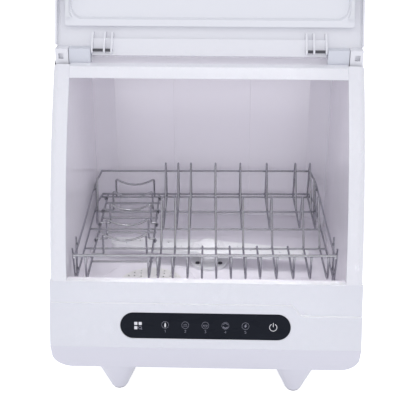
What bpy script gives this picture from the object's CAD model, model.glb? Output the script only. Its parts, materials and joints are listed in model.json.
"""Looks of the countertop dishwasher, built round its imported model.

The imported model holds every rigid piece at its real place. This script gives each piece its finish,
replaces the moulded shells with copies whose edges are rounded, and adds the printing on the touch
panel, the welds of the rack and the studio.
"""

import json
import logging
import math
from dataclasses import dataclass, field
from enum import Enum
from typing import Callable, ClassVar, Dict, Iterable, List, Optional, Sequence, Tuple, Union

import bmesh
import bpy
from mathutils import Matrix, Vector

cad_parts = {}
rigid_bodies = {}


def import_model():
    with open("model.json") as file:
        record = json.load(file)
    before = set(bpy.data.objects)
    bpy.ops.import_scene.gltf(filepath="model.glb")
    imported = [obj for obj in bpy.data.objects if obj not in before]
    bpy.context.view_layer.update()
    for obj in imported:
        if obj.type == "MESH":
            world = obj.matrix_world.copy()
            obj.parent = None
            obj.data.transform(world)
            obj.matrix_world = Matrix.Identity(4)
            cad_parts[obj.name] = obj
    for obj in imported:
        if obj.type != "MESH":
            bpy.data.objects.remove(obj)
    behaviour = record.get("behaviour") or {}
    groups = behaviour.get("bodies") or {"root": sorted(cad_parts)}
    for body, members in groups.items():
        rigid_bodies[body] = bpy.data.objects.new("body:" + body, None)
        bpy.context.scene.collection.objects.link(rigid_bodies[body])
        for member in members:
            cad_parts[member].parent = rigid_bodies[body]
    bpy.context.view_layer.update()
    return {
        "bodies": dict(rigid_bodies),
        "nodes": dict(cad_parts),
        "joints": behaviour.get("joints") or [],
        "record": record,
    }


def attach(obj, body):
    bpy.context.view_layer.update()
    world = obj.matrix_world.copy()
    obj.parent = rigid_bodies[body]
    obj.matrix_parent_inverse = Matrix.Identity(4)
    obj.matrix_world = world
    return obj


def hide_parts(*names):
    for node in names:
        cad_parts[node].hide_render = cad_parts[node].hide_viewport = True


LOG = logging.getLogger("dishwasher")
MM = 0.001
NEAR = 1e-5
EVEN = (1.0, 1.0, 1.0)
WHITE = (1.0, 1.0, 1.0, 1.0)
Number = Union[int, float]
Colour = Tuple[float, float, float]
Point = Tuple[float, float, float]
Pair = Tuple[float, float]


# ---------------------------------------------------------------- shader maths


class Value:
    """A shader socket that can be used in Python expressions."""

    def __init__(self, graph: "Graph", socket: bpy.types.NodeSocket) -> None:
        """Wraps an output socket of a graph."""
        self.graph = graph
        self.socket = socket

    def __add__(self, other: "Term") -> "Value":
        """This and the other term."""
        return self.graph.math("ADD", self, other)

    def __radd__(self, other: "Term") -> "Value":
        """The other term and this."""
        return self.graph.math("ADD", other, self)

    def __sub__(self, other: "Term") -> "Value":
        """This without the other term."""
        return self.graph.math("SUBTRACT", self, other)

    def __rsub__(self, other: "Term") -> "Value":
        """The other term without this."""
        return self.graph.math("SUBTRACT", other, self)

    def __mul__(self, other: "Term") -> "Value":
        """This times the other term."""
        return self.graph.math("MULTIPLY", self, other)

    def __rmul__(self, other: "Term") -> "Value":
        """The other term times this."""
        return self.graph.math("MULTIPLY", other, self)


Term = Union[Value, Number]


class Graph:
    """The node tree of one material or of the world."""

    def __init__(self, owner: Union[bpy.types.Material, bpy.types.World]) -> None:
        """Empties the owner's node tree.

        Args:
            owner: The new material or world.
        """
        owner.use_nodes = True
        self.owner = owner
        self.tree = owner.node_tree
        self.tree.nodes.clear()

    @classmethod
    def of_material(cls, name: str) -> "Graph":
        """Returns the graph of a new material."""
        return cls(bpy.data.materials.new(name))

    def node(self, kind: str, settings: Optional[Dict[str, object]] = None,
             inputs: Optional[Dict[Union[str, int], object]] = None) -> bpy.types.Node:
        """Adds a node.

        Args:
            kind: The node's type.
            settings: Properties that are set first.
            inputs: Values or links of its sockets, by name or index.

        Returns:
            The new node.
        """
        made = self.tree.nodes.new(kind)
        for key, value in (settings or {}).items():
            setattr(made, key, value)
        for key, value in (inputs or {}).items():
            if isinstance(value, Value):
                self.tree.links.new(value.socket, made.inputs[key])
            else:
                made.inputs[key].default_value = value
        return made

    def wrap(self, made: bpy.types.Node, output: Union[str, int] = 0) -> Value:
        """Returns an output of a node, by name or index, as a value."""
        return Value(self, made.outputs[output])

    def math(self, operation: str, a: Term, b: Term = 0.0) -> Value:
        """Adds a Math node and returns its result."""
        return self.wrap(self.node("ShaderNodeMath", {"operation": operation}, {0: a, 1: b}))

    def place(self, stretch: Point = EVEN) -> Value:
        """Position on the object in metres.

        Args:
            stretch: Factor on each axis.

        Returns:
            The position as a vector socket.
        """
        place = self.wrap(self.node("ShaderNodeTexCoord"), "Object")
        if stretch == EVEN:
            return place
        return self.wrap(self.node("ShaderNodeMapping", None, {"Vector": place, "Scale": stretch}))

    def noise(self, scale: float, detail: float = 2.0, stretch: Point = EVEN) -> Value:
        """Returns smooth noise of so many features per metre and octaves, from 0 to 1."""
        return self.wrap(self.node("ShaderNodeTexNoise", None,
                                   {"Vector": self.place(stretch), "Scale": scale, "Detail": detail}))

    def blend_colours(self, factor: Term, low: Colour, high: Colour) -> Value:
        """Mix of two colours.

        Args:
            factor: 0 gives low and 1 gives high.
            low: First colour.
            high: Second colour.

        Returns:
            The mixed colour.
        """
        made = self.node("ShaderNodeMix", {"data_type": "RGBA"},
                         {0: factor, 6: (*low, 1.0), 7: (*high, 1.0)})
        return self.wrap(made, 2)

    def bump(self, height: Value, strength: float, distance: float) -> Value:
        """Returns the normal of a height, whose value of 1 is a distance in metres."""
        return self.wrap(self.node("ShaderNodeBump", None,
                                   {"Strength": strength, "Distance": distance, "Height": height}))

    def surface(self, inputs: Dict[str, object]) -> bpy.types.Material:
        """Ends the graph with a Principled shader.

        Args:
            inputs: Values or links of the shader's sockets.

        Returns:
            The finished material.
        """
        shader = self.node("ShaderNodeBsdfPrincipled", None, inputs)
        self.node("ShaderNodeOutputMaterial", None, {"Surface": self.wrap(shader)})
        return self.owner


# ---------------------------------------------------------------- finishes


@dataclass(frozen=True)
class Plastic:
    """Moulded plastic.

    Attributes:
        slot: The record's material slot.
        colour: Base colour.
        shade: The colour that slow mottling drifts to.
        roughness: Mean roughness.
        polish: Swing of the roughness.
        peel: Depth of the moulding's slow waves, in metres.
        grain: Depth of the fine texture, in metres.
        coat: Weight of the clear gloss.
        CLOUDS: Features per metre and octaves of the mottling.
        WAVES: The same of the slow waves.
        GRAIN: The same of the fine texture.
        GRAIN_SWING: Swing of the roughness over the fine texture.
        COAT_ROUGHNESS: Roughness of the clear gloss.
    """

    CLOUDS: ClassVar[Pair] = (18.0, 3.0)
    WAVES: ClassVar[Pair] = (55.0, 1.0)
    GRAIN: ClassVar[Pair] = (1400.0, 2.0)
    GRAIN_SWING: ClassVar[float] = 0.03
    COAT_ROUGHNESS: ClassVar[float] = 0.08

    slot: str
    colour: Colour
    shade: Colour
    roughness: float = 0.3
    polish: float = 0.08
    peel: float = 0.00008
    grain: float = 0.00001
    coat: float = 0.0

    def build(self) -> bpy.types.Material:
        """Returns the material."""
        graph = Graph.of_material(self.slot)
        cloud = graph.noise(*self.CLOUDS)
        waves = graph.noise(*self.WAVES)
        fine = graph.noise(*self.GRAIN)
        height = waves * self.peel + fine * self.grain
        base = self.roughness - self.polish / 2 - self.GRAIN_SWING / 2
        return graph.surface({
            "Base Color": graph.blend_colours(cloud, self.colour, self.shade),
            "Roughness": cloud * self.polish + fine * self.GRAIN_SWING + base,
            "Coat Weight": self.coat,
            "Coat Roughness": self.COAT_ROUGHNESS,
            "Normal": graph.bump(height, 1.0, 1.0),
        })


@dataclass(frozen=True)
class Metal:
    """Bright metal with fine drawing marks.

    Attributes:
        slot: The record's material slot.
        colour: Colour of the reflection.
        tarnish: The colour that slow staining drifts to.
        roughness: Mean roughness.
        stretch: Stretch of the drawing marks on each axis.
        STAINS: Features per metre and octaves of the staining.
        MARKS: The same of the drawing marks.
        STAIN_SWING: Swing of the roughness over the staining.
        MARK_SWING: Swing of the roughness over the marks.
        MARK_BUMP: Strength of the marks, and their depth in metres.
    """

    STAINS: ClassVar[Pair] = (40.0, 3.0)
    MARKS: ClassVar[Pair] = (2500.0, 2.0)
    STAIN_SWING: ClassVar[float] = 0.1
    MARK_SWING: ClassVar[float] = 0.12
    MARK_BUMP: ClassVar[Pair] = (0.35, 0.00002)

    slot: str
    colour: Colour
    tarnish: Colour
    roughness: float = 0.25
    stretch: Point = EVEN

    def build(self) -> bpy.types.Material:
        """Returns the material."""
        graph = Graph.of_material(self.slot)
        cloud = graph.noise(*self.STAINS)
        marks = graph.noise(*self.MARKS, self.stretch)
        base = self.roughness - (self.STAIN_SWING + self.MARK_SWING) / 2
        return graph.surface({
            "Base Color": graph.blend_colours(cloud, self.colour, self.tarnish),
            "Metallic": 1.0,
            "Roughness": cloud * self.STAIN_SWING + marks * self.MARK_SWING + base,
            "Normal": graph.bump(marks, *self.MARK_BUMP),
        })


@dataclass(frozen=True)
class Rubber:
    """Matt rubber or silicone.

    Attributes:
        slot: The record's material slot.
        colour: Base colour.
        shade: The colour that dust drifts to.
        roughness: Mean roughness.
        DUST: Features per metre and octaves of the dust.
        SKIN: The same of the skin's fine texture.
        DUST_SWING: Swing of the roughness over the dust.
        DUST_MEAN: What the dust adds to the roughness on average.
        SKIN_BUMP: Strength of the skin's texture, and its depth in metres.
    """

    DUST: ClassVar[Pair] = (90.0, 4.0)
    SKIN: ClassVar[Pair] = (900.0, 3.0)
    DUST_SWING: ClassVar[float] = 0.15
    DUST_MEAN: ClassVar[float] = 0.07
    SKIN_BUMP: ClassVar[Pair] = (0.5, 0.00005)

    slot: str
    colour: Colour
    shade: Colour
    roughness: float = 0.65

    def build(self) -> bpy.types.Material:
        """Returns the material."""
        graph = Graph.of_material(self.slot)
        dust = graph.noise(*self.DUST)
        fine = graph.noise(*self.SKIN)
        return graph.surface({
            "Base Color": graph.blend_colours(dust, self.colour, self.shade),
            "Roughness": dust * self.DUST_SWING + (self.roughness - self.DUST_MEAN),
            "Normal": graph.bump(fine, *self.SKIN_BUMP),
        })


@dataclass(frozen=True)
class PanelGlass:
    """Black printed glass: a deep dark layer under a clear gloss.

    Attributes:
        slot: The record's material slot.
        colour: Colour of the print behind the glass.
        shade: The colour that wiping marks drift to.
        roughness: Least roughness.
        polish: Swing of the roughness.
        gloss: Level of the mirror-like share.
        SMEAR: Features per metre, octaves and stretch of the wiping marks.
    """

    SMEAR: ClassVar[Tuple[float, float, Point]] = (30.0, 4.0, (1.0, 3.0, 3.0))

    slot: str
    colour: Colour = (0.012, 0.014, 0.020)
    shade: Colour = (0.015, 0.017, 0.024)
    roughness: float = 0.22
    polish: float = 0.12
    gloss: float = 0.04

    def build(self) -> bpy.types.Material:
        """Returns the material."""
        graph = Graph.of_material(self.slot)
        smear = graph.noise(*self.SMEAR)
        return graph.surface({
            "Base Color": graph.blend_colours(smear, self.colour, self.shade),
            "Roughness": smear * self.polish + self.roughness,
            "Specular IOR Level": self.gloss,
        })


@dataclass(frozen=True)
class Laminate:
    """Printed circuit board with copper tracks under green lacquer.

    Attributes:
        slot: The record's material slot.
        bare: Lacquer between the tracks.
        track: Lacquer over the tracks.
        scale: Scale of the pattern, per metre.
        line: Size of a track against that scale.
        shift: Share of a length by which every second row is shifted.
        roughness: Roughness of the lacquer between the tracks.
        polish: How much smoother it is over the tracks.
        relief: Strength of the tracks' relief, and its depth in metres.
    """

    slot: str
    bare: Colour = (0.02, 0.10, 0.05)
    track: Colour = (0.06, 0.22, 0.10)
    scale: float = 160.0
    line: float = 0.03
    shift: float = 0.35
    roughness: float = 0.35
    polish: float = 0.1
    relief: Pair = (0.5, 0.00003)

    def build(self) -> bpy.types.Material:
        """Returns the material."""
        graph = Graph.of_material(self.slot)
        pattern = graph.node("ShaderNodeTexBrick", {"offset": self.shift},
                             {"Vector": graph.place(), "Scale": self.scale, "Mortar Size": self.line})
        mask = graph.wrap(pattern, 1)
        return graph.surface({
            "Base Color": graph.blend_colours(mask, self.bare, self.track),
            "Roughness": self.roughness - mask * self.polish,
            "Normal": graph.bump(mask, *self.relief),
        })


@dataclass(frozen=True)
class Ink:
    """Printing ink that is slightly uneven.

    Attributes:
        name: Name of the material.
        colour: Its colour.
        thin: Share of the colour where it is thinnest.
        roughness: Least roughness.
        polish: Swing of the roughness.
        SPECKLE: Features per metre and octaves of the unevenness.
    """

    SPECKLE: ClassVar[Pair] = (900.0, 3.0)

    name: str
    colour: Colour
    thin: float = 0.85
    roughness: float = 0.45
    polish: float = 0.1

    def build(self) -> bpy.types.Material:
        """Returns the material."""
        graph = Graph.of_material(self.name)
        speckle = graph.noise(*self.SPECKLE)
        faint = tuple(channel * self.thin for channel in self.colour)
        return graph.surface({
            "Base Color": graph.blend_colours(speckle, self.colour, faint),
            "Roughness": self.roughness + speckle * self.polish,
        })


SHELL = Plastic("shell_white", (0.81, 0.812, 0.852), (0.80, 0.802, 0.842), 0.24, coat=0.2)
CHIN = Plastic("chin_white", (0.745, 0.752, 0.802), (0.735, 0.742, 0.792), 0.26, coat=0.2)
BASE = Plastic("base_white", (0.735, 0.73, 0.80), (0.725, 0.72, 0.79), 0.32)
TUB = Plastic("tub_white", (0.945, 0.918, 0.975), (0.94, 0.913, 0.97), 0.17, coat=0.4)
LINER = Plastic("liner_white", (0.81, 0.818, 0.858), (0.80, 0.808, 0.848), 0.22, coat=0.2)
HINGE = Plastic("hinge_grey", (0.69, 0.707, 0.765), (0.67, 0.687, 0.745), 0.4)
SPRAY = Plastic("spray_white", (0.90, 0.90, 0.92), (0.88, 0.88, 0.90), 0.3)
FILTER = Plastic("filter_plastic", (0.80, 0.79, 0.78), (0.77, 0.76, 0.75), 0.45, grain=0.00002)
PUMP = Plastic("pump_plastic", (0.34, 0.34, 0.36), (0.30, 0.30, 0.32), 0.5, grain=0.00003)
DARK = Plastic("dark_plastic", (0.02, 0.02, 0.024), (0.03, 0.03, 0.034), 0.45, grain=0.00003)
SEAL = Rubber("seal_silicone", (0.78, 0.79, 0.82), (0.74, 0.75, 0.78), 0.5)
PAD = Rubber("foot_rubber", (0.34, 0.34, 0.36), (0.28, 0.28, 0.30))
HOSE = Rubber("hose_rubber", (0.09, 0.09, 0.10), (0.13, 0.13, 0.14))
WIRE = Metal("rack_wire", (0.42, 0.42, 0.45), (0.34, 0.34, 0.37), 0.20)
MESH = Metal("steel_mesh", (0.62, 0.62, 0.64), (0.55, 0.55, 0.57), 0.32)
PIN = Metal("pin_steel", (0.10, 0.10, 0.115), (0.08, 0.08, 0.09), 0.35)
MOTOR = Metal("motor_steel", (0.50, 0.51, 0.53), (0.42, 0.43, 0.45), 0.38, (1.0, 6.0, 6.0))
COPPER = Metal("copper_spring", (0.80, 0.50, 0.30), (0.60, 0.38, 0.24), 0.3)
GLASS = PanelGlass("panel_glass")
BOARD = Laminate("circuit_board")
BRIGHT_INK = Ink("ink_bright", (0.82, 0.82, 0.86))
DIM_INK = Ink("ink_dim", (0.26, 0.26, 0.32))
ALL_FINISHES = (SHELL, CHIN, BASE, TUB, LINER, HINGE, SPRAY, FILTER, PUMP, DARK, SEAL, PAD, HOSE,
                WIRE, MESH, PIN, MOTOR, COPPER, GLASS, BOARD)


class Paintbox:
    """Builds each finish once and hands out its material by slot."""

    def __init__(self) -> None:
        """Builds the materials of every slot."""
        self.materials = {finish.slot: finish.build() for finish in ALL_FINISHES}

    def __getitem__(self, slot: str) -> bpy.types.Material:
        """Returns the material of a slot."""
        return self.materials[slot]

    def dress(self, frame: Dict) -> None:
        """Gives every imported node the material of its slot.
        """
        for part in frame["record"]["subparts"]:
            mesh = frame["nodes"][part["node"]].data
            mesh.materials.clear()
            mesh.materials.append(self.materials[part["material_slot"]])


# ---------------------------------------------------------------- mesh workshop


class Workshop:
    """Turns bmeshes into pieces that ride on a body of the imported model.

    Attributes:
        MERGE: Corners nearer than this are one, in metres.
        FLAT: Faces that differ by fewer degrees are joined up.
        SHARP: Edges sharper than this many degrees are rounded.
        SEGMENTS: Faces across a rounding.
        NO_AREA: Corners with less area round them keep their face's normal, in square metres.
    """

    MERGE = 2e-6
    FLAT = 0.2
    SHARP = 30.0
    SEGMENTS = 2
    NO_AREA = 1e-12

    def __init__(self, frame: Dict, paints: Paintbox) -> None:
        """Keeps the frame and the materials.

        Args:
            paints: The materials.
        """
        self.frame = frame
        self.paints = paints
        self.body_of = {node: body for body, nodes in frame["record"]["behaviour"]["bodies"].items()
                        for node in nodes}
        self.slot_of = {part["node"]: part["material_slot"] for part in frame["record"]["subparts"]}

    def copy_node(self, node: str) -> bmesh.types.BMesh:
        """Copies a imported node's mesh, merged and with its flat faces joined up.

        Args:
            node: The node.

        Returns:
            The copy.
        """
        mesh = bmesh.new()
        mesh.from_mesh(self.frame["nodes"][node].data)
        bmesh.ops.remove_doubles(mesh, verts=mesh.verts, dist=self.MERGE)
        bmesh.ops.dissolve_limit(mesh, angle_limit=math.radians(self.FLAT),
                                 verts=mesh.verts, edges=mesh.edges)
        return mesh

    def round_edges(self, mesh: bmesh.types.BMesh, width: float) -> None:
        """Rounds the sharp edges of a mesh.

        Args:
            mesh: The mesh to change.
            width: Width of the rounding, in metres.
        """
        limit = math.radians(self.SHARP)
        edges = [edge for edge in mesh.edges
                 if len(edge.link_faces) == 2 and edge.calc_face_angle(0.0) > limit]
        bmesh.ops.bevel(mesh, geom=edges, offset=width, offset_type="OFFSET", affect="EDGES",
                        segments=self.SEGMENTS, profile=0.5, material=-1, clamp_overlap=True)

    def corner_normals(self, mesh: bmesh.types.BMesh, smooth_below: float) -> List[Vector]:
        """Weighs the faces round each corner by their area, so that flat faces stay flat.

        Args:
            mesh: The mesh.
            smooth_below: Faces that differ by fewer degrees are blended.

        Returns:
            The normal of every corner, face by face.
        """
        limit = math.cos(math.radians(smooth_below))
        mesh.normal_update()
        mesh.faces.ensure_lookup_table()
        areas = [face.calc_area() for face in mesh.faces]
        normals = []
        for face in mesh.faces:
            for corner in face.loops:
                total = Vector()
                for other in corner.vert.link_faces:
                    if other is face or other.normal.dot(face.normal) > limit:
                        total += other.normal * areas[other.index]
                known = total.length > self.NO_AREA
                normals.append(total.normalized() if known else face.normal.copy())
        return normals

    def finish(self, name: str, mesh: bmesh.types.BMesh, body: str, slot: str,
               replaces: Sequence[str] = (), smooth_below: float = 32.0) -> bpy.types.Object:
        """Makes an object of a mesh and fastens it to a body.

        Args:
            name: Name of the piece.
            mesh: Its mesh, in the frame's place; it is freed.
            body: The body that it rides on.
            slot: Its material slot.
            replaces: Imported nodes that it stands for.
            smooth_below: Edges flatter than this many degrees are shaded smooth.

        Returns:
            The piece.
        """
        for face in mesh.faces:
            face.smooth = True
        normals = self.corner_normals(mesh, smooth_below)
        data = bpy.data.meshes.new(name)
        mesh.to_mesh(data)
        mesh.free()
        data.normals_split_custom_set(normals)
        data.materials.append(self.paints[slot])
        piece = bpy.data.objects.new(name, data)
        bpy.context.scene.collection.objects.link(piece)
        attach(piece, body)
        if replaces:
            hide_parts(*replaces)
        LOG.info("%s: %d faces on %s", name, len(data.polygons), body)
        return piece

    def soften(self, node: str, width: float) -> bpy.types.Object:
        """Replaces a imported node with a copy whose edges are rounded.

        Args:
            node: The node.
            width: Width of the rounding, in metres.

        Returns:
            The piece.
        """
        mesh = self.copy_node(node)
        self.round_edges(mesh, width)
        return self.finish(node + "_soft", mesh, self.body_of[node], self.slot_of[node], [node])


@dataclass
class Shells:
    """The moulded and pressed pieces whose edges are only rounded.

    Attributes:
        trough_top: Faces of the top cover below this height are in its trough, in metres.
        trough_back: They are also in front of this depth.
        ledge_tilt: Least upward share of the normal of the chin's lighter edges.
        ledge_low: Least height of those edges, in metres.
        widths: Width of the rounding of each node, in metres.
    """

    trough_top: float = 0.46
    trough_back: float = 0.0005
    ledge_tilt: float = 0.45
    ledge_low: float = 0.108
    widths: Dict[str, float] = field(default_factory=lambda: {
        "front_chin": 1.4 * MM,
        "base_tray": 1.0 * MM,
        "side_cheek_left": 0.7 * MM,
        "side_cheek_right": 0.7 * MM,
        "top_cover": 0.7 * MM,
        "top_bar": 1.0 * MM,
        "rear_panel": 0.4 * MM,
        "tub_surround": 0.5 * MM,
        "tub_floor": 0.6 * MM,
        "lid_shell": 0.6 * MM,
        "lid_liner": 1.2 * MM,
        "lid_hinge_ribs": 0.4 * MM,
        "hinge_block_left": 0.5 * MM,
        "hinge_block_right": 0.5 * MM,
        "control_glass": 0.35 * MM,
        "hub_base": 0.6 * MM,
        "filter_cover": 0.3 * MM,
        "spray_cap": 0.6 * MM,
        "spray_arm": 1.8 * MM,
    })

    def build(self, shop: Workshop) -> None:
        """Makes the softened copies.

        Args:
            shop: The workshop.
        """
        for node, width in self.widths.items():
            piece = shop.soften(node, width)
            if node == "top_cover":
                self.recolour(shop, piece, "tub_white", self.in_trough)
            elif node == "front_chin":
                self.recolour(shop, piece, "spray_white", self.on_ledge)

    def in_trough(self, face: bpy.types.MeshPolygon) -> bool:
        """Tells whether a face of the top cover lies in its trough."""
        return face.center.z < self.trough_top and face.center.y < self.trough_back

    def on_ledge(self, face: bpy.types.MeshPolygon) -> bool:
        """Tells whether a face of the chin looks up from its step, rim or pocket."""
        return face.normal.z > self.ledge_tilt and face.center.z > self.ledge_low

    @staticmethod
    def recolour(shop: Workshop, piece: bpy.types.Object, paint: str,
                 choose: Callable[[bpy.types.MeshPolygon], bool]) -> None:
        """Gives some faces of a piece another finish.

        Args:
            shop: The workshop.
            piece: The piece.
            paint: The material slot of the other finish.
            choose: Tells which faces get it.
        """
        piece.data.materials.append(shop.paints[paint])
        for face in piece.data.polygons:
            if choose(face):
                face.material_index = 1


@dataclass
class TroughEnds:
    """Floor and rear wall that close the trough between the top cover and each cheek.

    Attributes:
        inner: Where the top cover's trough ends, in metres from the middle.
        outer: Inner face of the cheek.
        front: Rear face of the tower.
        wall: Front face of the rear wall.
        low: Underside of the floor.
        high: Underside of the top cover.
        bend: Radius of the upper outer corner.
        steps: Faces across that corner.
        thickness: Thickness of both.
    """

    inner: float = 0.1894
    outer: float = 0.2074
    front: float = -0.0219
    wall: float = -0.0008
    low: float = 0.4415
    high: float = 0.4714
    bend: float = 0.0094
    steps: int = 8
    thickness: float = 0.0025

    def slab(self, mesh: bmesh.types.BMesh, side: float, rows: Pair, heights: Pair) -> None:
        """Adds a block that fills the gap beside the top cover.

        Args:
            mesh: The mesh to add to.
            side: -1 for left and 1 for right.
            rows: Its front and back.
            heights: Its underside and top.
        """
        middle = Matrix.Translation((side * (self.inner + self.outer) / 2, sum(rows) / 2,
                                     sum(heights) / 2))
        size = Matrix.Diagonal((self.outer - self.inner, rows[1] - rows[0],
                                heights[1] - heights[0], 1.0))
        bmesh.ops.create_cube(mesh, size=1.0, matrix=middle @ size)

    def build(self, shop: Workshop) -> None:
        """Makes both ends.

        Args:
            shop: The workshop.
        """
        for side, name in ((-1.0, "left"), (1.0, "right")):
            mesh = bmesh.new()
            self.slab(mesh, side, (self.wall, self.wall + self.thickness), (self.low, self.high))
            corner = [edge for edge in mesh.edges
                      if all(vert.co.z > self.high - NEAR and side * vert.co.x > self.outer - NEAR
                             for vert in edge.verts)]
            bmesh.ops.bevel(mesh, geom=corner, offset=self.bend, offset_type="OFFSET", affect="EDGES",
                            segments=self.steps, profile=0.5, material=-1)
            self.slab(mesh, side, (self.front, self.wall), (self.low, self.low + self.thickness))
            shop.finish("trough_end_" + name, mesh, "cabinet", "tub_white")


# ---------------------------------------------------------------- printing on the touch panel


class Icon(Enum):
    """What is drawn inside an icon's ring."""

    DROP = "drop"
    WAVES = "waves"
    BOWL = "bowl"
    SWEEP = "sweep"
    SPARK = "spark"


@dataclass
class TouchPrint:
    """White printing behind the face of the touch panel.

    Everything is drawn in millimetres on the panel, from its middle.

    Attributes:
        height: Height of the panel's middle, in metres.
        face: Depth of the panel's middle, in metres.
        lean: Degrees that the panel leans back from upright.
        proud: Height of the print over the plane of the chin, in metres.
        thickness: Thickness of the print, in metres.
        choice: Middle of the icon at the left end.
        power: Middle of the icon at the right end.
        icons: Place across the panel and drawing of each ring icon.
        icon_row: Height of the ring icons on the panel.
        digit_row: Height of the digits on the panel.
        bright: What is printed in bright ink.
        dim: What is printed in dim ink.
        DIGITS: Strokes of the digits 1 to 5.
        RING, FINE, PLAIN, TEXT, BOLD: Radius of the rings, and widths of lines.
    """

    DIGITS: ClassVar[Sequence[Sequence[Pair]]] = (
        ((-0.7, 1.0), (0.2, 1.7), (0.2, -1.7)),
        ((-0.9, 1.1), (-0.4, 1.7), (0.5, 1.7), (0.9, 1.1), (0.9, 0.5), (-0.9, -1.7), (1.0, -1.7)),
        ((-0.9, 1.7), (0.9, 1.7), (0.0, 0.4), (0.8, 0.1), (0.9, -1.0), (0.2, -1.7), (-0.9, -1.5)),
        ((0.5, -1.7), (0.5, 1.7), (-1.1, -0.8), (1.1, -0.8)),
        ((0.9, 1.7), (-0.8, 1.7), (-0.9, 0.3), (0.4, 0.5), (1.0, -0.3), (0.8, -1.3), (0.0, -1.7),
         (-0.9, -1.4)))
    RING: ClassVar[float] = 4.7
    FINE: ClassVar[float] = 0.35
    PLAIN: ClassVar[float] = 0.4
    TEXT: ClassVar[float] = 0.45
    BOLD: ClassVar[float] = 0.8

    height: float = 0.128
    face: float = -0.194353
    lean: float = 18.4
    proud: float = 0.00042
    thickness: float = 0.00004
    choice: Pair = (-90.6, -0.2)
    power: Pair = (91.2, 0.0)
    icons: Sequence[Tuple[float, Icon]] = ((-54.0, Icon.DROP), (-27.0, Icon.WAVES), (0.0, Icon.BOWL),
                                           (27.0, Icon.SWEEP), (54.0, Icon.SPARK))
    icon_row: float = 1.3
    digit_row: float = -7.2
    bright: bmesh.types.BMesh = field(default_factory=bmesh.new)
    dim: bmesh.types.BMesh = field(default_factory=bmesh.new)

    @staticmethod
    def fill(mesh: bmesh.types.BMesh, outline: Sequence[Pair]) -> None:
        """Adds a flat face whose corners run anticlockwise."""
        mesh.faces.new([mesh.verts.new((x * MM, y * MM, 0.0)) for x, y in outline])

    @staticmethod
    def stroke(mesh: bmesh.types.BMesh, line: Sequence[Pair], width: float) -> None:
        """Adds a line of even width.

        Args:
            mesh: The mesh to add to.
            line: Its points.
            width: Its width.
        """
        points = [Vector(point) for point in line]
        closed = (points[0] - points[-1]).length < NEAR
        sides = []
        for i, point in enumerate(points):
            before = points[i - 1] if i else (points[-2] if closed else point)
            after = points[i + 1] if i + 1 < len(points) else (points[1] if closed else point)
            across = (after - before).normalized().orthogonal() * width / 2
            sides.append([mesh.verts.new((edge.x * MM, edge.y * MM, 0.0))
                          for edge in (point + across, point - across)])
        for (a, b), (c, d) in zip(sides, sides[1:]):
            mesh.faces.new((a, b, d, c))

    @staticmethod
    def arc(x: float, y: float, radius: float, start: float = 0.0, end: float = 360.0,
            steps: int = 40) -> List[Pair]:
        """Returns the points of an arc round a centre, between two angles in degrees."""
        angles = [math.radians(start + (end - start) * i / steps) for i in range(steps + 1)]
        return [(x + radius * math.cos(a), y + radius * math.sin(a)) for a in angles]

    def choice_icon(self, x: float, y: float) -> None:
        """Draws three squares, and a lens in the place of the fourth.

        Args:
            x: Its middle across the panel.
            y: Its middle up the panel.
        """
        side, step, corner, lens = 2.1, 2.95, 0.6, 1.9
        for sx, sy in ((-1, 1), (1, 1), (-1, -1)):
            cx, cy = x + sx * step, y + sy * step
            outline = []
            for qx, qy, first in ((1, 1, 0), (-1, 1, 90), (-1, -1, 180), (1, -1, 270)):
                outline += self.arc(cx + qx * (side - corner), cy + qy * (side - corner), corner,
                                    first, first + 90, 5)
            self.fill(self.bright, outline)
        x, y = x + step, y - step
        self.stroke(self.dim, self.arc(x - 0.3, y + 0.3, lens), 0.6)
        self.stroke(self.dim, [(x + 1.0, y - 1.0), (x + 2.5, y - 2.5)], self.BOLD)

    def power_icon(self, x: float, y: float) -> None:
        """Draws an open ring with a bar."""
        self.stroke(self.bright, self.arc(x, y, 4.9, 118.0, 422.0), self.BOLD)
        self.stroke(self.bright, [(x, y + 0.6), (x, y + 6.2)], self.BOLD)

    def ring_icon(self, x: float, y: float, icon: Icon) -> None:
        """Draws a ring and what is inside it.

        Args:
            x: Its middle across the panel.
            y: Its middle up the panel.
            icon: What is inside.
        """
        self.stroke(self.dim, self.arc(x, y, self.RING), self.FINE)
        if icon is Icon.DROP:
            angles = [math.pi * i / 18 for i in range(36, 0, -1)]
            self.fill(self.bright, [(x + 1.35 * math.sin(a) * math.sin(a / 2) ** 0.8,
                                     y + 3.4 * math.cos(a)) for a in angles])
        elif icon is Icon.WAVES:
            self.stroke(self.dim, [(x + t * 0.25, y + 1.1 + 0.5 * math.sin(t * 0.8))
                                   for t in range(-8, 9)], self.FINE)
            self.stroke(self.dim, [(x - 3.0, y - 1.2), (x + 3.0, y - 1.2)], self.TEXT)
        elif icon is Icon.BOWL:
            self.stroke(self.dim, self.arc(x, y + 0.4, 2.5, 180.0, 360.0), self.PLAIN)
            self.stroke(self.dim, [(x - 3.0, y + 0.4), (x + 3.0, y + 0.4)], self.PLAIN)
        elif icon is Icon.SWEEP:
            self.stroke(self.dim, self.arc(x, y, 3.2, 200.0, 330.0), 1.0)
            self.stroke(self.dim, self.arc(x, y, 3.2, 20.0, 150.0), 0.5)
        else:
            self.fill(self.dim, [(x + 1.4, y + 3.4), (x - 2.0, y - 0.5), (x - 0.2, y - 0.5),
                                 (x - 1.2, y - 3.4), (x + 2.1, y + 0.6), (x + 0.3, y + 0.6)])

    def draw(self) -> None:
        """Draws the whole panel, flat and in its own place."""
        self.choice_icon(*self.choice)
        self.power_icon(*self.power)
        for (x, icon), digit in zip(self.icons, self.DIGITS):
            self.ring_icon(x, self.icon_row, icon)
            self.stroke(self.dim, [(x + a, self.digit_row + b) for a, b in digit], self.TEXT)

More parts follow.
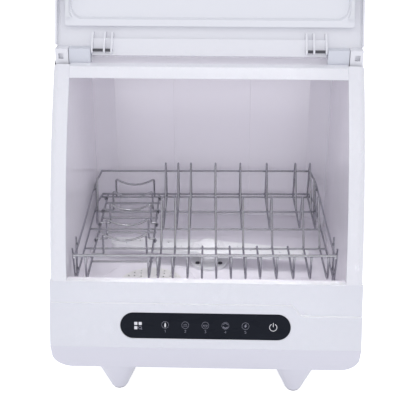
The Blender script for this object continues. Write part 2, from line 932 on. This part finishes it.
    def build(self, shop: Workshop) -> None:
        """Makes the printing.

        Args:
            shop: The workshop.
        """
        self.draw()
        place = (Matrix.Translation((0.0, self.face, self.height))
                 @ Matrix.Rotation(math.radians(90.0 - self.lean), 4, "X")
                 @ Matrix.Translation((0.0, 0.0, self.proud)))
        for name, mesh, ink in (("bright", self.bright, BRIGHT_INK), ("dim", self.dim, DIM_INK)):
            for face in mesh.faces:
                if face.calc_area() > 0 and face.normal.z < 0:
                    face.normal_flip()
            solid = bmesh.ops.extrude_face_region(mesh, geom=list(mesh.faces))
            moved = [part for part in solid["geom"] if isinstance(part, bmesh.types.BMVert)]
            bmesh.ops.translate(mesh, vec=(0.0, 0.0, self.thickness), verts=moved)
            bmesh.ops.recalc_face_normals(mesh, faces=mesh.faces)
            bmesh.ops.transform(mesh, matrix=place, verts=mesh.verts)
            piece = shop.finish("panel_print_" + name, mesh, "cabinet", "shell_white", smooth_below=1.0)
            piece.data.materials[0] = ink.build()


# ---------------------------------------------------------------- welds of the rack


@dataclass
class RackWelds:
    """Beads of weld metal where the rack's wires cross, in the rack's own frame and in metres.

    Attributes:
        origin: Middle of the front wire.
        turn: Degrees that the rack is turned.
        floor: Height of the lengthwise wires.
        radius: Radius of a wire.
        rail: Half the distance between the side wires.
        length: Distance from the front wire to the rear end.
        grid: Lengthwise wires, as shares of rail.
        tines: Which of them carry tines.
        cross: Wires across the whole floor, as shares of length.
        rungs: Short wires on the left, as shares of length.
        cradles: Cup cradles, as shares of length.
        legs: Place of the beads on the legs of the right side.
        front_top: Height of the beads on the front wire.
        side_inset: How far the beads on the side wires stand inside them.
        rear_half: Half the distance between the beads of the rear corners.
        BEAD_FRONT, BEAD_FLOOR, BEAD_TINE, BEAD_CRADLE, BEAD_LEG: Half sizes of the beads.
    """

    BEAD_FRONT: ClassVar[Point] = (0.0019, 0.0019, 0.0009)
    BEAD_FLOOR: ClassVar[Point] = (0.0021, 0.0021, 0.0008)
    BEAD_TINE: ClassVar[Point] = (0.0018, 0.0021, 0.0009)
    BEAD_CRADLE: ClassVar[Point] = (0.0019, 0.0021, 0.0008)
    BEAD_LEG: ClassVar[Point] = (0.0009, 0.0022, 0.0022)

    origin: Pair = (-0.0020, -0.1464)
    turn: float = 1.4
    floor: float = 0.172
    radius: float = 0.0015
    rail: float = 0.177
    length: float = 0.29
    grid: Sequence[float] = (-0.915, -0.435, -0.364, -0.25, -0.135, -0.023, 0.088, 0.202, 0.315, 0.429,
                             0.555, 0.685, 0.815, 0.948)
    tines: Sequence[int] = (2, 3, 4, 6, 8, 10, 12, 13)
    cross: Sequence[float] = (0.338, 0.559, 0.776, 0.972)
    rungs: Sequence[float] = (0.2, 0.521, 0.697, 0.886)
    cradles: Sequence[float] = (0.241, 0.41, 0.593, 0.759, 0.928)
    legs: Sequence[Point] = ((0.1784, 0.0079, 0.2071), (0.1784, 0.0401, 0.2071),
                             (0.1784, 0.0145, 0.172), (0.1784, 0.0335, 0.172),
                             (0.1754, 0.2282, 0.2071), (0.1754, 0.2462, 0.2071),
                             (0.1752, 0.2220, 0.172), (0.1752, 0.2326, 0.172))
    front_top: float = 0.2081
    side_inset: float = 0.0003
    rear_half: float = 0.172

    def beads(self) -> Iterable[Tuple[Point, Point]]:
        """Yields the place and the half sizes of each bead."""
        low, high = self.floor - self.radius, self.floor + self.radius
        grid = [share * self.rail for share in self.grid]
        cross, rungs, cradles = ([share * self.length for share in shares]
                                 for shares in (self.cross, self.rungs, self.cradles))
        for i, x in enumerate(grid):
            yield (x, 0.0, self.front_top), self.BEAD_FRONT
            for y in cross if i < 2 or i in self.tines else cross[:1]:
                yield (x, y, low), self.BEAD_FLOOR
        for y in rungs:
            for x in grid[:2]:
                yield (x, y, low), self.BEAD_FLOOR
        for i in self.tines:
            for y in cross:
                yield (grid[i], y, high), self.BEAD_TINE
        for y in cradles:
            for x in grid[:2]:
                yield (x, y, high), self.BEAD_CRADLE
        for side in (-1, 1):
            for y in cross[:3]:
                yield (side * (self.rail - self.side_inset), y, low), self.BEAD_FLOOR
            yield (side * self.rear_half, cross[3], low), self.BEAD_FLOOR
            for x, y, z in self.legs:
                yield (side * x, y, z), self.BEAD_LEG

    def build(self, shop: Workshop) -> None:
        """Makes the beads.

        Args:
            shop: The workshop.
        """
        place = (Matrix.Translation((*self.origin, 0.0))
                 @ Matrix.Rotation(math.radians(self.turn), 4, "Z"))
        mesh = bmesh.new()
        for where, half in self.beads():
            bead = bmesh.ops.create_uvsphere(mesh, u_segments=10, v_segments=6, radius=1.0)
            spot = place @ Matrix.Translation(where) @ Matrix.Diagonal((*half, 1.0))
            bmesh.ops.transform(mesh, matrix=spot, verts=bead["verts"])
        shop.finish("rack_welds", mesh, "rack", "rack_wire", smooth_below=60.0)


# ---------------------------------------------------------------- studio


@dataclass(frozen=True)
class Lamp:
    """A soft rectangular lamp that the camera doesn't see.

    Attributes:
        name: Its name.
        place: Its middle, in metres.
        aim: The point that it faces.
        size: Its width and height, in metres.
        power: Its power in watts.
        spread: Angle of its beam in degrees.
        glint: Whether polished pieces mirror it.
    """

    name: str
    place: Point
    aim: Point
    size: Pair
    power: float
    spread: float = 180.0
    glint: bool = False

    def build(self) -> None:
        """Adds the lamp."""
        data = bpy.data.lights.new(self.name, "AREA")
        data.shape = "RECTANGLE"
        data.size, data.size_y = self.size
        data.energy = self.power
        data.spread = math.radians(self.spread)
        lamp = bpy.data.objects.new(self.name, data)
        lamp.visible_camera = False
        lamp.visible_glossy = self.glint
        lamp.location = self.place
        beam = Vector(self.aim) - Vector(self.place)
        lamp.rotation_euler = beam.to_track_quat("-Z", "Y").to_euler()
        bpy.context.scene.collection.objects.link(lamp)


@dataclass
class Studio:
    """Camera, lamps, floor and backdrop.

    Attributes:
        eye: Camera position in metres.
        pitch: Degrees that the camera looks down.
        yaw: Degrees that it looks towards -X.
        roll: Degrees that it turns about its own axis.
        frame_pixels: Width of the frame that the focal length is given for.
        focal_pixels: Focal length in pixels of that frame.
        sensor: Width of the sensor, in millimetres.
        far: How far the camera sees, in metres.
        sky: Colour of the light from all round.
        sky_power: Its strength.
        paper: Colour of the floor.
        floor_half: Half the width of the floor, in metres.
        glow: How strongly the floor glows where the background shows.
        lamps: The lamps.
    """

    eye: Point = (0.0305, -1.2219, 0.7853)
    pitch: float = 25.1
    yaw: float = 1.51
    roll: float = 0.08
    frame_pixels: float = 416.0
    focal_pixels: float = 900.0
    sensor: float = 36.0
    far: float = 50.0
    sky: Colour = (0.93, 0.94, 1.0)
    sky_power: float = 0.80
    paper: Colour = (0.9, 0.9, 0.91)
    floor_half: float = 6.0
    glow: float = 0.75
    lamps: Sequence[Lamp] = (
        Lamp("front", (0.0, -2.4, 0.95), (0.0, 0.0, 0.35), (1.8, 0.8), 10.5),
        Lamp("above", (0.0, -0.13, 1.9), (0.0, -0.13, 0.2), (0.38, 0.14), 0.045, spread=6.0),
        Lamp("tub", (0.0, -0.03, 0.425), (0.0, -0.07, 0.12), (0.30, 0.08), 0.12, spread=80.0),
        Lamp("trough", (0.0, -0.008, 0.464), (0.0, -0.016, 0.444), (0.35, 0.006), 0.0095),
        Lamp("top", (0.0, -0.9, 2.2), (0.0, -0.05, 0.2), (0.5, 0.3), 2.0, glint=True))

    def camera(self) -> None:
        """Adds the camera."""
        data = bpy.data.cameras.new("camera")
        data.sensor_width = self.sensor
        data.lens = self.focal_pixels / self.frame_pixels * data.sensor_width
        data.clip_end = self.far
        camera = bpy.data.objects.new("camera", data)
        turn = (Matrix.Rotation(math.radians(self.yaw), 4, "Z")
                @ Matrix.Rotation(math.radians(90.0 - self.pitch), 4, "X")
                @ Matrix.Rotation(math.radians(self.roll), 4, "Z"))
        camera.matrix_world = Matrix.Translation(self.eye) @ turn
        bpy.context.scene.collection.objects.link(camera)
        bpy.context.scene.camera = camera

    @staticmethod
    def seen_white(graph: Graph) -> Value:
        """Tells the rays that show the background from those that light the object.

        Args:
            graph: The graph to add to.

        Returns:
            1 on the camera's, mirrored and transmitted rays, and 0 on all others.
        """
        path = graph.node("ShaderNodeLightPath")
        seen = graph.wrap(path, "Is Camera Ray")
        for ray in ("Is Glossy Ray", "Is Transmission Ray"):
            seen = graph.math("MAXIMUM", seen, graph.wrap(path, ray))
        return seen

    def world(self) -> None:
        """Makes a soft world that the camera sees as white."""
        graph = Graph(bpy.data.worlds.new("studio"))
        soft = graph.node("ShaderNodeBackground", None,
                          {"Color": (*self.sky, 1.0), "Strength": self.sky_power})
        white = graph.node("ShaderNodeBackground", None, {"Color": WHITE})
        mix = graph.node("ShaderNodeMixShader", None,
                         {0: self.seen_white(graph), 1: graph.wrap(soft), 2: graph.wrap(white)})
        graph.node("ShaderNodeOutputWorld", None, {"Surface": graph.wrap(mix)})
        bpy.context.scene.world = graph.owner

    def floor_paper(self) -> bpy.types.Material:
        """Returns matt paper that also glows where the background shows."""
        graph = Graph.of_material("floor_paper")
        paper = graph.node("ShaderNodeBsdfDiffuse", None, {"Color": (*self.paper, 1.0)})
        glow = graph.node("ShaderNodeEmission", None,
                          {"Color": WHITE, "Strength": self.seen_white(graph) * self.glow})
        both = graph.node("ShaderNodeAddShader", None, {0: graph.wrap(paper), 1: graph.wrap(glow)})
        graph.node("ShaderNodeOutputMaterial", None, {"Surface": graph.wrap(both)})
        return graph.owner

    def floor(self) -> None:
        """Adds a pale floor that keeps the object's shadow."""
        mesh = bmesh.new()
        bmesh.ops.create_grid(mesh, x_segments=1, y_segments=1, size=self.floor_half)
        data = bpy.data.meshes.new("floor")
        mesh.to_mesh(data)
        mesh.free()
        data.materials.append(self.floor_paper())
        floor = bpy.data.objects.new("floor", data)
        bpy.context.scene.collection.objects.link(floor)

    def build(self) -> None:
        """Sets up the whole studio."""
        bpy.context.scene.view_settings.view_transform = "Standard"
        self.camera()
        self.world()
        self.floor()
        for lamp in self.lamps:
            lamp.build()
        LOG.info("studio is ready")


def main() -> None:
    """Builds the dishwasher's looks."""
    logging.basicConfig(level=logging.INFO, format="%(name)s: %(message)s")
    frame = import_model()
    Studio().build()
    paints = Paintbox()
    paints.dress(frame)
    shop = Workshop(frame, paints)
    for maker in (Shells(), TroughEnds(), RackWelds(), TouchPrint()):
        maker.build(shop)


if __name__ == "__main__":
    main()
